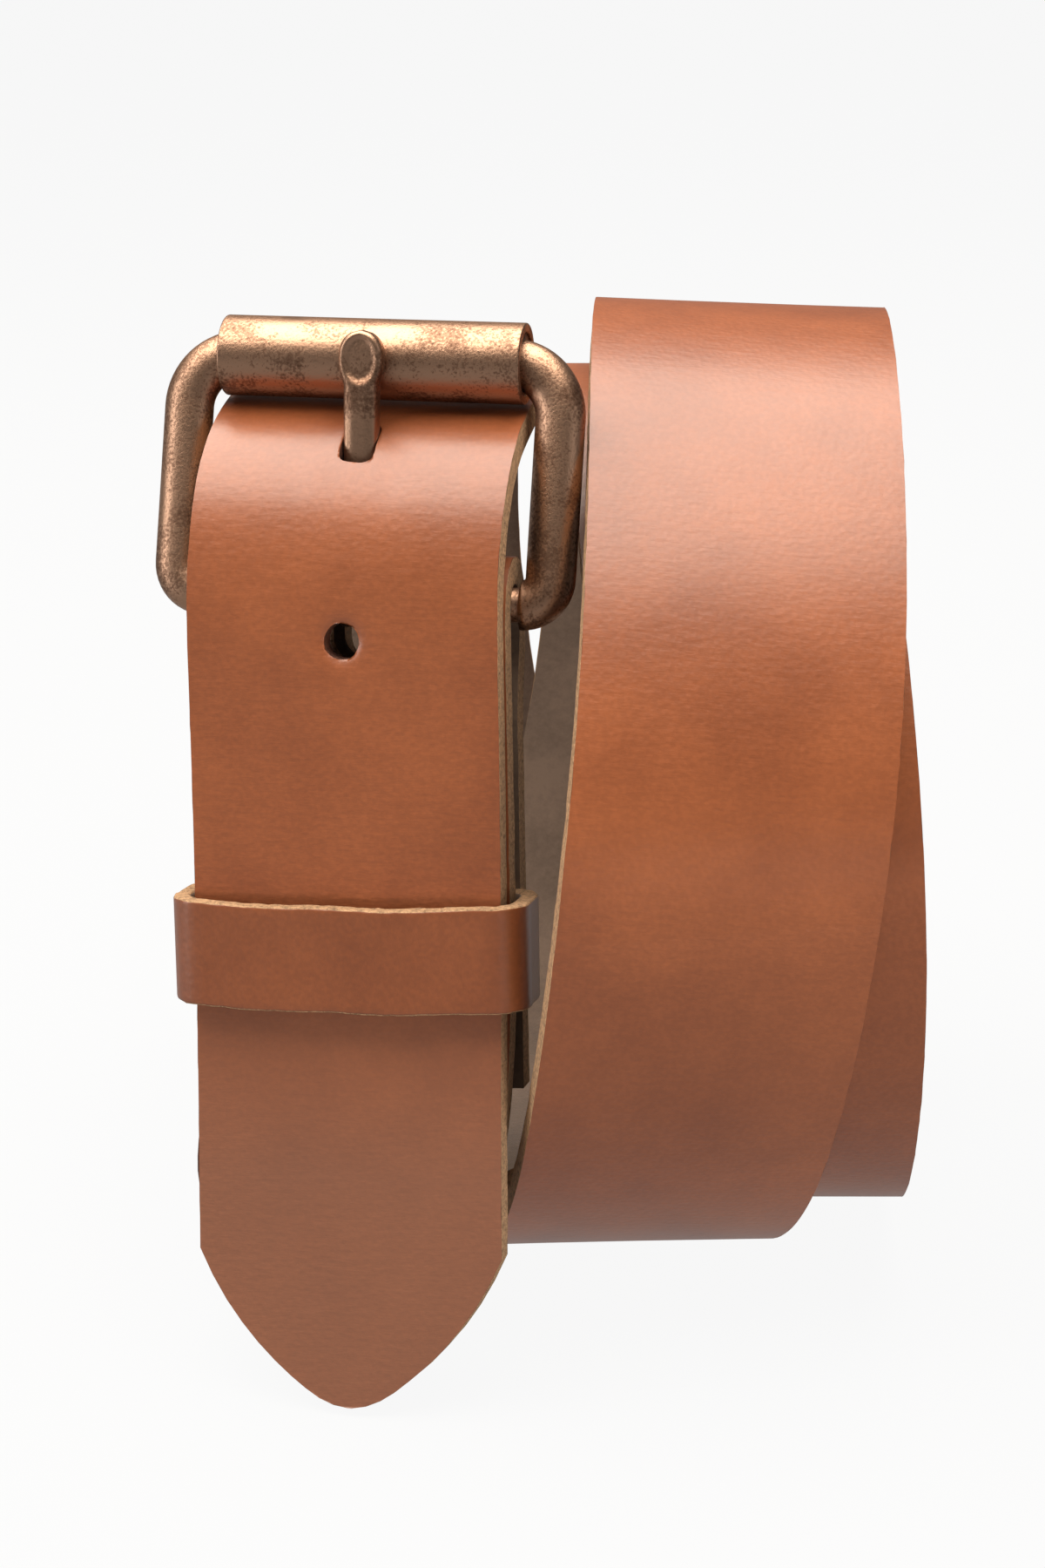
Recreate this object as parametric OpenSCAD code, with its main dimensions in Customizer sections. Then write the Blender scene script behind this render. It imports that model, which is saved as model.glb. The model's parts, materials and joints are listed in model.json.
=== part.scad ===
// Leather belt, buckled and rolled into three turns that stand on edge.
// X runs across the strap, the front faces -Y, +Z is up, and the coil stands on Z = 0.

/* [Strap] */
// Width of the strap
strap_w = 40; // [30:1:48]
// Thickness of the strap leather
strap_t = 3.5; // [2.8:0.1:4.2]
// Length of the pointed tip
tip_l = 20; // [16:1:26]
// Radius of the two curved sides of the point
tip_side_r = 42; // [38:1:60]
// Angle between the strap's edge and the side of the point where they meet
tip_corner = 23; // [15:1:26]
// Radius of the nose of the point
tip_nose_r = 7.5; // [5:0.5:9]

/* [Holes] */
// Diameter of an adjustment hole
hole_d = 4.6; // [4:0.1:6]
// Distance between adjustment holes
hole_pitch = 25; // [20:1:30]
// Number of adjustment holes
hole_n = 5; // [3:1:7]
// Which hole the prong is in, counted from the tip
prong_hole = 2; // [2:1:3]
// Room in its hole for the prong to lift
prong_room = 0.7; // [0.5:0.1:1.2]

/* [Coil] */
// Height of the coil
coil_h = 130; // [120:1:156]
// Depth of the coil, front to back
coil_d = 125; // [115:1:150]
// Gap between neighbouring turns
turn_gap = 0.9; // [0.7:0.1:1.5]
// Lean of the buckle end, backwards from upright
lean = 9; // [6:1:11]
// Turn of the buckle end about its upright, towards the left
yaw = 12; // [8:1:14]
// Tilt of the plies and the keeper, left side down
ply_roll = 1; // [0:0.5:2]
// Tilt of the buckle on its plies, right side down
buckle_roll = 2.5; // [0:0.5:3]
// How far the free tip stands out from the plies behind it
tip_bow = 5; // [0:0.5:6]

/* [Buckle] */
// Room inside the frame beside the strap, both sides together
frame_room = 2.6; // [2:0.1:4]
// Width of the frame's bar
frame_bar = 6.4; // [5:0.1:7]
// Thickness of the frame's bar
frame_thick = 5.2; // [4.4:0.1:6]
// Distance between the heel bar and the roller
frame_l = 30.5; // [29:0.5:36]
// Outer radius of the frame's corners beside the roller
frame_corner = 10; // [9:0.5:12]
// Inner radius of the frame's corners beside the heel bar
heel_corner = 0.3; // [0.1:0.1:0.6]
// Diameter of the heel bar that the strap wraps round
heel_d = 4.4; // [4:0.1:5]
// Lean of the frame, inwards from the strap
frame_tilt = 10; // [8:1:12]
// Outer diameter of the roller
roller_d = 10.3; // [9:0.1:11]
// Thickness of the roller's sheet
roller_wall = 1.2; // [0.8:0.1:1.5]
// Width of the open seam of the roller
roller_seam = 0.8; // [0.5:0.1:1.5]
// Width of the prong's shaft
prong_w = 4.4; // [3.6:0.1:4.6]
// Thickness of the prong's shaft
prong_t = 3.6; // [3:0.1:4]
// Width of the prong's flattened tip
paddle_w = 5.7; // [4.6:0.1:6]
// Length of the prong's flattened tip
paddle_l = 7; // [6:0.5:9]

/* [Keeper] */
// Width of the keeper's strip
keeper_w = 13.5; // [10:0.5:16]
// Thickness of the keeper's leather
keeper_t = 2.2; // [1.6:0.1:2.6]
// Slack between the keeper and the tip end in front
keeper_slack = 0.9; // [0.5:0.1:1.2]
// Room in the keeper beside the strap, both sides together
keeper_room = 2.2; // [1.4:0.1:4]
// Distance of the keeper's middle below the heel bar
keeper_drop = 44; // [41:1:47]
// Inside radius of the keeper's corners
keeper_corner = 1.2; // [0.8:0.1:1.5]

/* [Rivets] */
// Diameter of a rivet cap
cap_d = 9; // [7:0.5:10]
// Height of a rivet cap
cap_h = 0.8; // [0.6:0.1:0.9]
// Diameter of a rivet post
post_d = 3; // [2.5:0.1:3.5]
// Distance between the rivets of a row
rivet_spread = 22; // [18:1:24]
// Distance of each row of rivets from the keeper's edge
rivet_off = 9; // [8:0.5:10]

/* [Fits] */
// Clearance between a turning or riveted part and its hole, all round
turn_fit = 0.08; // [0.05:0.01:0.1]
// Clearance between leather and anything that moves beside it
slide_gap = 0.35; // [0.3:0.05:0.5]

/* [Hidden] */
$fn = 48;
leather = "#B0693F";
keeper_leather = "#A9603A";
copper = "#9C6B4C";
steel = "#B9BBBD";
half_w = strap_w / 2;
half_t = strap_t / 2;
heel_r = heel_d / 2;

// ---- The buckle end's own frame: x along the heel bar, y inwards, z up the strap ----
front_gap = cap_h + 0.3;
wrap_gap = 0.15;
plies_gap = keeper_t + 2 * slide_gap;
front_y = -(heel_r + wrap_gap + strap_t + front_gap + half_t);
inner_y = -(heel_r + wrap_gap + half_t);
fold_y = inner_y + strap_t + plies_gap;
shift = [-0.1125 * strap_w, 0.0272 * coil_d, 0.35];
heel_at = shift + [-0.53 * strap_w, -0.296 * coil_d, 0.77 * coil_h - 0.3];
tip_z = (0.3 + half_t * sin(lean) - heel_at.z + (front_y - tip_bow) * sin(lean)) / cos(lean);

// Turns a direction about one axis
function about_x(v, a) = [v.x, v.y * cos(a) - v.z * sin(a), v.y * sin(a) + v.z * cos(a)];
function about_y(v, a) = [v.x * cos(a) + v.z * sin(a), v.y, v.z * cos(a) - v.x * sin(a)];
function about_z(v, a) = [v.x * cos(a) - v.y * sin(a), v.x * sin(a) + v.y * cos(a), v.z];
// From the plies' frame, and from the buckle's frame on it, to the belt's frame
function from_plies(v) = about_x(about_z(about_y(v, -ply_roll), -yaw), -lean);
function from_buckle(v) = from_plies(about_y(v, buckle_roll));
ply_dir = from_plies([1, 0, 0]);
bar_dir = from_buckle([1, 0, 0]);
function ply_row(x, y, z) = [heel_at + from_plies([x, y, z]), ply_dir];
function buckle_row(x, y, z) = [heel_at + from_buckle([x, y, z]), bar_dir];

// ---- Where the roller and the prong lie ----
roller_r = roller_d / 2;
roller_at = frame_l * [0, sin(frame_tilt), cos(frame_tilt)];
under_roller = roller_r + half_t + slide_gap + 0.3;
prong_lean = asin((roller_r + slide_gap + prong_t / 2 - 0.6) / frame_l) - frame_tilt;
prong_l = roller_at.z + 3.8;

// ---- Route of the strap's middle: rows of [point, direction across] ----
// The end with the tip: up in front of the heel bar, then back under the roller
tip_step = 25;
tail_rows = [
    ply_row(0, front_y - tip_bow * 1.9, tip_z - tip_step),
    ply_row(0, front_y - tip_bow, tip_z),
    ply_row(-0.5, front_y - tip_bow * 0.3, tip_z + tip_step),
    ply_row(-0.4, front_y, tip_z + 2 * tip_step),
    ply_row(0, front_y, tip_z + 3 * tip_step),
    ply_row(0, front_y, -9),
    ply_row(0, front_y, 2),
    buckle_row(0, front_y + 2, 12),
    buckle_row(0, -0.5, 20),
    buckle_row(0, roller_at.y + under_roller * 0.6, roller_at.z - under_roller * 0.8),
    buckle_row(0, 20, 27)];

// Corners of the outer turn's outline, as shares of the coil's depth and height
oval = [[-0.56, 0.35], [-0.49, 0.76], [-0.11, 1.07], [0.32, 0.95],
    [0.54, 0.59], [0.45, 0.2], [0.12, -0.012], [-0.29, -0.012]];
// Eighths of a turn, each as [side in strap widths, layers inwards, twist], from the top back
eighths = [
    [-0.52, 0, 0], [-0.56, 0, 0], [-0.32, 0, 0], [0.08, 0, 0], [0.385, 0, 0.5],
    [0.53, 0, 8], [0.68, 0, 6], [0.7, 0, 4], [0.8, 0, 0], [0.92, 0.2, 0], [0.94, 0.7, 0],
    [0.88, 1.05, 0], [0.81, 1.4, 0],
    [0.78, 2, 0], [0.7, 2.2, 0], [0.62, 2, 0], [0.6, 1.8, 0], [0.6, 1.9, 0], [0.42, 2.1, 0],
    [0.02, 2.6, 0], [-0.5, 3.8, 0]];
first_eighth = 3;
layer_step = (strap_t + turn_gap) * 1.1;
function oval_point(share) = [share.x * (coil_d - strap_t), half_t + share.y * (coil_h - strap_t)];
function coil_point(i) = let(
        row = eighths[i],
        p = oval_point(oval[(first_eighth + i) % len(oval)]),
        to_axis = [0, coil_h / 2] - p,
        q = p + to_axis / norm(to_axis) * row[1] * layer_step)
    shift + [row[0] * strap_w, q.x, q.y];
coil_mid = [for (i = [0:len(eighths) - 1]) coil_point(i)];
function across(i) = let(
        j = max(1, min(i, len(coil_mid) - 2)),
        chord = coil_mid[j + 1] - coil_mid[j - 1],
        inwards = cross(chord / norm(chord), [1, 0, 0]))
    cos(eighths[i][2]) * [1, 0, 0] + sin(eighths[i][2]) * inwards;
coil_rows = [for (i = [0:len(eighths) - 1]) [coil_mid[i], across(i)]];

// The buckle end: up behind the tip end, round the heel bar, and down again
arc_r = (heel_r + wrap_gap + half_t) * 1.3;
fold_top_y = 1.15 * (heel_r + wrap_gap + half_t);
fold_rows = [
    [heel_at + from_plies([-6, inner_y + 8, -81.4]), [1, 0, 0]],
    ply_row(-1.6, inner_y + 0.8, -68.5),
    ply_row(0, inner_y, -54),
    ply_row(0, inner_y, -36),
    ply_row(0, inner_y, -16),
    ply_row(0, inner_y, -6),
    buckle_row(0, -arc_r * cos(30), arc_r * sin(30)),
    buckle_row(0, 0, arc_r),
    buckle_row(0, arc_r * cos(30), arc_r * sin(30)),
    ply_row(0, fold_top_y, -6),
    ply_row(0, fold_y + 0.2, -12),
    ply_row(0, fold_y, -18),
    ply_row(0, fold_y, -28),
    ply_row(0, fold_y, -40),
    ply_row(0, fold_y, -52),
    ply_row(0, fold_y, -64),
    ply_row(0, fold_y, -76)];
route = concat(tail_rows, coil_rows, fold_rows);

// ---- Cubic B-spline through the rows ----
function blend4(u) = [pow(1 - u, 3), 3 * pow(u, 3) - 6 * u * u + 4,
    -3 * pow(u, 3) + 3 * u * u + 3 * u + 1, pow(u, 3)] / 6;
function slope4(u) = [-pow(1 - u, 2), 3 * u * u - 4 * u, -3 * u * u + 2 * u + 1, u * u] / 2;
function mixed(weights, i, part) = weights * [for (k = [0:3]) route[i + k][part]];
spans = len(route) - 3;
// Middle, direction along, direction across and outward normal at a place on the route
function station(t) = let(
        i = min(floor(t), spans - 1),
        u = t - i,
        along_raw = mixed(slope4(u), i, 0),
        along = along_raw / norm(along_raw),
        side_raw = mixed(blend4(u), i, 1),
        side_flat = side_raw - (side_raw * along) * along,
        side = side_flat / norm(side_flat))
    [mixed(blend4(u), i, 0), along, side, cross(side, along)];

// Places of the rings: close together at the point and round the heel bar
nose_steps = 9;
coil_steps = 7;
bend_steps = 5;
flat_steps = 3;
coil_from = len(tail_rows) - 2;
coil_to = len(tail_rows) + len(coil_rows) + 1;
wrap_from = coil_to + 2;
function span_steps(i) = i < coil_from - 4 ? flat_steps : i < coil_from ? bend_steps
    : i < coil_to ? coil_steps : i >= wrap_from && i < wrap_from + 6 ? bend_steps : flat_steps;
ring_at = concat(
    [for (k = [0:nose_steps]) pow(k / nose_steps, 1.7)],
    [for (i = [1:spans - 1], k = [1:span_steps(i)]) i + k / span_steps(i)]);
stations = [for (t = ring_at) station(t)];
run = [for (i = 0, s = 0; i < len(stations);
    s = i + 1 < len(stations) ? s + norm(stations[i + 1][0] - stations[i][0]) : s, i = i + 1) s];
place_of = [for (i = [0:len(run) - 1]) [run[i], ring_at[i]]];
strap_l = run[len(run) - 1];

// Half of the strap's width at a distance from the tip
side_mid = [tip_l + tip_side_r * sin(tip_corner), half_w - tip_side_r * cos(tip_corner)];
function half_width(s) = s >= tip_l ? half_w
    : max(0.4, min(s < tip_nose_r / 3 ? sqrt(2 * tip_nose_r * s) : half_w,
        side_mid.y + sqrt(pow(tip_side_r, 2) - pow(side_mid.x - s, 2))));

function ring(i) = let(q = stations[i], w = half_width(run[i]))
    [q[0] - w * q[2] + half_t * q[3], q[0] + w * q[2] + half_t * q[3],
     q[0] + w * q[2] - half_t * q[3], q[0] - w * q[2] - half_t * q[3]];

// The strap's body between two of its rings
module strap_body(first, last) {
    points = [for (i = [first:last], p = ring(i)) p];
    n = last - first + 1;
    sides = [for (i = [0:n - 2], k = [0:3]) let(a = 4 * i + k, b = 4 * i + (k + 1) % 4)
        each [[a, b + 4, b], [a, a + 4, b + 4]]];
    ends = [[0, 1, 2, 3], [for (k = [3:-1:0]) 4 * (n - 1) + k]];
    polyhedron(points, concat(ends, sides));
}

// Puts a shape on the strap, with z outwards, at a distance from the tip
module on_strap(s) {
    q = station(lookup(s, place_of));
    multmatrix([
        [q[2].x, q[1].x, q[3].x, q[0].x],
        [q[2].y, q[1].y, q[3].y, q[0].y],
        [q[2].z, q[1].z, q[3].z, q[0].z]])
        children();
}

// ---- Holes in the strap ----
// Distance of the prong's hole from the tip: where the prong's line meets the strap
prong_side = from_buckle([0, cos(prong_lean), sin(prong_lean)]);
function prong_gap(s) = (station(lookup(s, place_of))[0] - heel_at) * prong_side;
function crossing(a, b, n) = n == 0 ? (a + b) / 2
    : let(m = (a + b) / 2) prong_gap(m) < 0 ? crossing(m, b, n - 1) : crossing(a, m, n - 1);
heel_s = -tip_z;
prong_s = crossing(heel_s, heel_s + 34, 12);
first_hole = prong_s - (prong_hole - 1) * hole_pitch;
cut_h = strap_t * 2.2;

module hole_cut(s) {
    on_strap(s) translate([0, 0, -cut_h / 2]) cylinder(h = cut_h, d = hole_d);
}

// The hole that holds the prong is drawn out of round: it runs slantwise, along the prong
module prong_hole_cut() {
    r = 1;
    x = hole_d / 2 - r;
    y_out = prong_t / 2 + slide_gap + prong_room - r;
    y_in = prong_t / 2 + slide_gap - r;
    on_buckle() rotate([prong_lean, 0, 0])
        translate([0, 0, prong_l / 3]) {
            for (side = [-x, x], y = [-y_out, y_in])
                translate([side, y, 0]) cylinder(h = prong_l / 2, r = r);
            translate([-hole_d / 2, -y_out, 0]) cube([hole_d, y_out + y_in, prong_l / 2]);
            translate([-x, -y_out - r, 0]) cube([2 * x, y_out + y_in + 2 * r, prong_l / 2]);
        }
}

ply_front = inner_y - half_t;
ply_back = fold_y + half_t;
slot_w = prong_w + 1.8;
slot_reach = 5;
slot_back = ply_back + 3;
post_x = rivet_spread / 2;
keeper_z = -keeper_drop;
post_z = [keeper_z + keeper_w / 2 + rivet_off, keeper_z - keeper_w / 2 - rivet_off];
post_at = [for (z = post_z, side = [-1, 1]) [side * post_x, z]];

// Everything of the buckle end is drawn in its own frame and set in place by this
module on_plies() {
    translate(heel_at) rotate([-lean, 0, 0]) rotate([0, 0, -yaw]) rotate([0, -ply_roll, 0]) children();
}
module on_buckle() {
    on_plies() rotate([0, buckle_roll, 0]) children();
}

// The strap is one length of leather, drawn in stretches that meet end to end
stretch_ends = [0, prong_s + hole_pitch / 2, strap_l * 0.36, strap_l * 0.61, strap_l * 0.855, strap_l];
function ring_past(s) = len([for (r = run) if (r < s) r]);
stretch_rings = [for (s = stretch_ends) min(ring_past(s), len(stations) - 1)];

module strap_stretch(k) {
    color(leather)
        difference() {
            strap_body(stretch_rings[k], stretch_rings[k + 1]);
            for (h = [0:hole_n - 1])
                let(s = first_hole + h * hole_pitch)
                    if (h != prong_hole - 1 && s > stretch_ends[k] && s < stretch_ends[k + 1])
                        hole_cut(s);
            if (k == 0) prong_hole_cut();
            if (k == len(stretch_ends) - 2) fold_cuts();
        }
}

module fold_cuts() {
    // Slot for the prong, over the fold
    on_buckle() {
        translate([-slot_w / 2, ply_front - 0.4, -slot_reach])
            cube([slot_w, slot_back - ply_front + 0.4, slot_reach + heel_r + strap_t + 1]);
        translate([0, ply_front - 0.4, -slot_reach])
            rotate([-90, 0, 0]) cylinder(h = slot_back - ply_front + 0.4, d = slot_w);
    }
    // Holes for the rivet posts
    on_plies() {
        for (p = post_at)
            translate([p.x, ply_front - 1, p.y])
                rotate([-90, 0, 0]) cylinder(h = ply_back - ply_front + 2, r = post_d / 2 + turn_fit);
    }
}

// ---- Buckle, drawn with the heel bar along x at the origin and the frame up z ----
inner_half = (strap_w + frame_room) / 2;
bar_x = inner_half + frame_bar / 2;
bend_r = frame_corner - frame_bar / 2;
heel_bend_r = frame_bar / 2 + heel_corner;
journal_d = roller_d - 2 * roller_wall - 2 * turn_fit;
roller_l = strap_w - 0.6;

// One corner of the frame, a quarter ring from the x direction to the z direction
module frame_bend(r) {
    rotate([90, 0, 0])
        rotate_extrude(angle = 90)
            translate([r, 0]) circle(d = frame_bar);
}

module on_frame() {
    on_buckle() rotate([-frame_tilt, 0, 0]) children();
}

// Side bar and its two corners, of round bar
module frame_side() {
    translate([bar_x, 0, heel_bend_r])
        cylinder(h = frame_l - bend_r - heel_bend_r, d = frame_bar);
    translate([bar_x - bend_r, 0, frame_l - bend_r]) frame_bend(bend_r);
    translate([bar_x - heel_bend_r, 0, heel_bend_r])
        mirror([0, 0, 1]) frame_bend(heel_bend_r);
}

module buckle_frame() {
    slab = [3 * bar_x, frame_thick, 3 * frame_l];
    color(copper)
        on_frame() {
            // The bar's two faces are pressed flat
            for (side = [0, 1])
                mirror([side, 0, 0])
                    intersection() {
                        frame_side();
                        cube(slab, center = true);
                    }
            // Heel bar, and the front bar, which is the journal inside the roller
            translate([-bar_x + heel_bend_r, 0, 0]) rotate([0, 90, 0])
                cylinder(h = 2 * (bar_x - heel_bend_r), d = heel_d);
            translate([-bar_x + bend_r, 0, frame_l]) rotate([0, 90, 0])
                cylinder(h = 2 * (bar_x - bend_r), d = journal_d);
        }
}

// The roller: a rolled sheet tube with its seam at the back
module roller() {
    color(copper)
        on_frame()
            translate([-roller_l / 2, 0, frame_l]) rotate([0, 90, 0])
                difference() {
                    cylinder(h = roller_l, d = roller_d);
                    translate([0, 0, -1]) cylinder(h = roller_l + 2, d = roller_d - 2 * roller_wall);
                    rotate(45) translate([0, -roller_seam / 2, -1])
                        cube([roller_d, roller_seam, roller_l + 2]);
                }
}

// The prong: an eye round the heel bar, a shaft, and a flattened tip that lies on the roller
eye_r = heel_r + 1.6;
module prong() {
    color(copper)
        on_buckle() rotate([prong_lean, 0, 0])
            difference() {
                union() {
                    translate([-prong_w / 2, 0, 0]) rotate([0, 90, 0]) cylinder(h = prong_w, r = eye_r);
                    hull() {
                        for (z = [heel_r, prong_l - paddle_l - 1], x = [-1, 1], y = [-1, 1])
                            translate([x * (prong_w / 2 - 1), y * (prong_t / 2 - 1), z])
                                cylinder(h = 1, r = 1, $fn = 24);
                    }
                    hull() {
                        translate([0, 0, prong_l - paddle_l - 1.5])
                            cube([prong_w - 0.6, prong_t - 0.6, 1], center = true);
                        translate([0, -0.2, prong_l - paddle_w / 2]) rotate([90, 0, 0])
                            cylinder(h = prong_t - 1, d = paddle_w, center = true, $fn = 32);
                    }
                }
                translate([-prong_w, 0, 0]) rotate([0, 90, 0])
                    cylinder(h = 2 * prong_w, r = heel_r + turn_fit);
            }
}

// ---- Keeper ----
keeper_in_w = strap_w + keeper_room;
keeper_in_y = [front_y - half_t - keeper_slack, inner_y + half_t + slide_gap];
module loop_outline(grow, r) {
    w = keeper_in_w / 2 + grow;
    y0 = keeper_in_y[0] - grow;
    y1 = keeper_in_y[1] + grow;
    translate([-w + r, y0]) square([2 * (w - r), y1 - y0]);
    translate([-w, y0 + r]) square([2 * w, y1 - y0 - 2 * r]);
    for (x = [-w + r, w - r], y = [y0 + r, y1 - r])
        translate([x, y]) circle(r);
}

staple_w = 8;
staple_wire = 0.7;
module staple_shape(extra) {
    for (x = [-1, 1])
        translate([x * staple_w / 2 - staple_wire / 2 - extra, 0, -staple_wire / 2 - extra])
            cube([staple_wire + 2 * extra, keeper_t, staple_wire + 2 * extra]);
    translate([-staple_w / 2 - staple_wire / 2 - extra, 0, -staple_wire / 2 - extra])
        cube([staple_w + staple_wire + 2 * extra, staple_wire + extra, staple_wire + 2 * extra]);
}

module keeper() {
    color(keeper_leather)
        on_plies() translate([0, 0, keeper_z])
            difference() {
                translate([0, 0, -keeper_w / 2])
                    linear_extrude(keeper_w)
                        difference() {
                            loop_outline(keeper_t, keeper_corner + keeper_t);
                            loop_outline(0, keeper_corner);
                        }
                // Joint where the two ends of the strip meet, and the staple's seats
                translate([-0.15, keeper_in_y[1] - 1, -keeper_w])
                    cube([0.3, keeper_t + 2, 2 * keeper_w]);
                for (z = [-1, 1])
                    translate([0, keeper_in_y[1], z * keeper_w / 4]) staple_shape(0.03);
            }
}

// Two staples join the ends of the keeper's strip
module keeper_staple() {
    color(steel)
        on_plies() translate([0, keeper_in_y[1], keeper_z])
            for (z = [-1, 1])
                translate([0, 0, z * keeper_w / 4]) staple_shape(0);
}

// ---- Rivets that close the fold ----
cap_seat = 0.05;
module rivet_post(i) {
    color(copper)
        on_plies() translate([post_at[i].x, ply_front, post_at[i].y])
            rotate([-90, 0, 0]) {
                cylinder(h = ply_back - ply_front, d = post_d);
                // Head on the side of the tip end, kept flat
                translate([0, 0, -cap_h]) cylinder(h = cap_h - cap_seat, d = cap_d);
                translate([0, 0, -cap_h]) cylinder(h = cap_h + 1, d = post_d);
            }
}

// Domed cap on the inside of the coil, pressed on the end of the post
module rivet_cap(i) {
    dome_h = cap_h * 1.8;
    dome_r = (pow(cap_d / 2, 2) + dome_h * dome_h) / (2 * dome_h);
    color(copper)
        on_plies() translate([post_at[i].x, ply_back + cap_seat, post_at[i].y])
            rotate([-90, 0, 0])
                intersection() {
                    cylinder(h = dome_h, d = cap_d);
                    translate([0, 0, dome_h - dome_r]) sphere(dome_r);
                }
}

strap_stretch(0);  // strap_tip_end
strap_stretch(1);  // strap_turn_1
strap_stretch(2);  // strap_turn_2
strap_stretch(3);  // strap_turn_3
strap_stretch(4);  // strap_fold_end
buckle_frame();
roller();
prong();
keeper();
keeper_staple();
rivet_post(0);  // rivet_post_1
rivet_post(1);  // rivet_post_2
rivet_post(2);  // rivet_post_3
rivet_post(3);  // rivet_post_4
rivet_cap(0);  // rivet_cap_1
rivet_cap(1);  // rivet_cap_2
rivet_cap(2);  // rivet_cap_3
rivet_cap(3);  // rivet_cap_4
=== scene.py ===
"""A leather belt, buckled and rolled into a coil on edge: full-grain strap, roller buckle and keeper."""

import json
import math

import bmesh
import bpy
from mathutils import Matrix, Vector, noise


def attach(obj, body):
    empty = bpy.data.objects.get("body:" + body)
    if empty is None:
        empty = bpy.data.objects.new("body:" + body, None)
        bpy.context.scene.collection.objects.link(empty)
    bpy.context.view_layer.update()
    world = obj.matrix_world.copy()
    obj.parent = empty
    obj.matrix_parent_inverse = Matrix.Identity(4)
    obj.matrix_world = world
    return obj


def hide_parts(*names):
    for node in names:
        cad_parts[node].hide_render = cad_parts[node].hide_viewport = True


bl_info = {
    "name": "Rolled leather belt",
    "version": (1, 0, 0),
    "blender": (4, 5, 0),
    "location": "View3D > Sidebar > Belt",
    "description": "Builds a coiled leather belt with its roller buckle, prong, keeper and rivets",
    "category": "Object",
}

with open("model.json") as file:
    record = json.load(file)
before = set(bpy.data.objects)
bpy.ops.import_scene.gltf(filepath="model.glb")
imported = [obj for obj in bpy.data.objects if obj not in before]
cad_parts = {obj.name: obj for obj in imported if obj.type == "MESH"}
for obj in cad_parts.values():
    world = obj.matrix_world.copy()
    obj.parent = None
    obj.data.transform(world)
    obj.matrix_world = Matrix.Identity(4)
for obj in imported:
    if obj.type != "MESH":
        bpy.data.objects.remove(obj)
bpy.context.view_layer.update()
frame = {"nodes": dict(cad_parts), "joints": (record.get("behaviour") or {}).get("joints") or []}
JOINTS = {joint["name"]: joint for joint in frame["joints"]}
MM = 0.001
# The keeper's grain is taken from this place on the hide, in millimetres, well past the strap's end
KEEPER_START = 2000.0

# The heel bar's middle, in millimetres, as the buckle's hinge states it
HEEL = Vector(JOINTS["frame_swing"]["pos_m"]) / MM

# The cut edges' roughness is random unless its seed is fixed
EDGE_SEED = 1

# Settings that several nodes share
MULTIPLY_ADD = {"operation": "MULTIPLY_ADD"}
SCALED = {"operation": "SCALE"}
CLAMPED = {"clamp": True}


# ---- Settings ----
def millimetres(label, words, value):
    """A length in millimetres that the panel shows."""
    return bpy.props.FloatProperty(name=label, description=words, default=value, min=0.0)


def degrees(label, words, value):
    """An angle in degrees that the panel shows."""
    return bpy.props.FloatProperty(name=label, description=f"{words}, in degrees", default=value)


def colour_setting(label, words, value):
    """A colour as an sRGB hex value that the panel shows."""
    return bpy.props.StringProperty(name=label, description=words, default=value)


class BeltStrapSettings(bpy.types.PropertyGroup):
    """Sizes of the strap and its coil."""

    width: millimetres("Width", "Width of the strap", 40.0)
    thickness: millimetres("Thickness", "Thickness of the strap leather", 3.5)
    cell: millimetres("Cell", "Size of the mesh cells on the flat strap", 2.0)
    edge_round: millimetres("Edge rounding", "Rounding of the cut edges", 0.45)
    tip_length: millimetres("Tip length", "Length of the pointed tip", 20.0)
    tip_side: millimetres("Tip side radius", "Radius of the two curved sides of the point", 42.0)
    tip_corner: degrees("Tip corner", "Angle where the point's side meets the strap's edge", 23.0)
    tip_nose: millimetres("Tip nose radius", "Radius of the nose of the point", 7.5)
    hole: millimetres("Hole diameter", "Diameter of an adjustment hole", 4.6)
    pitch: millimetres("Hole pitch", "Distance between adjustment holes", 25.0)
    holes: bpy.props.IntProperty(
        name="Holes", description="Number of adjustment holes", default=5, min=2, max=7
    )
    prong_room: millimetres("Prong room", "Room for the prong to lift in its hole", 1.25)
    slide_gap: millimetres("Sliding gap", "Clearance between leather and what moves beside it", 0.35)


class BeltCoilSettings(bpy.types.PropertyGroup):
    """Sizes and attitude of the coil."""

    height: millimetres("Height", "Height of the coil", 130.0)
    depth: millimetres("Depth", "Depth of the coil, front to back", 125.0)
    gap: millimetres("Gap", "Gap between neighbouring turns", 0.9)
    lean: degrees("Lean", "Backward lean of the buckle end", 9.0)
    yaw: degrees("Yaw", "Turn of the buckle end", 12.0)
    ply_roll: degrees("Ply roll", "Sideways tilt of the plies", 1.0)
    buckle_roll: degrees("Buckle roll", "Sideways tilt of the buckle on its plies", 2.5)
    tip_bow: millimetres("Tip bow", "How far the free tip stands out", 5.0)


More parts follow.
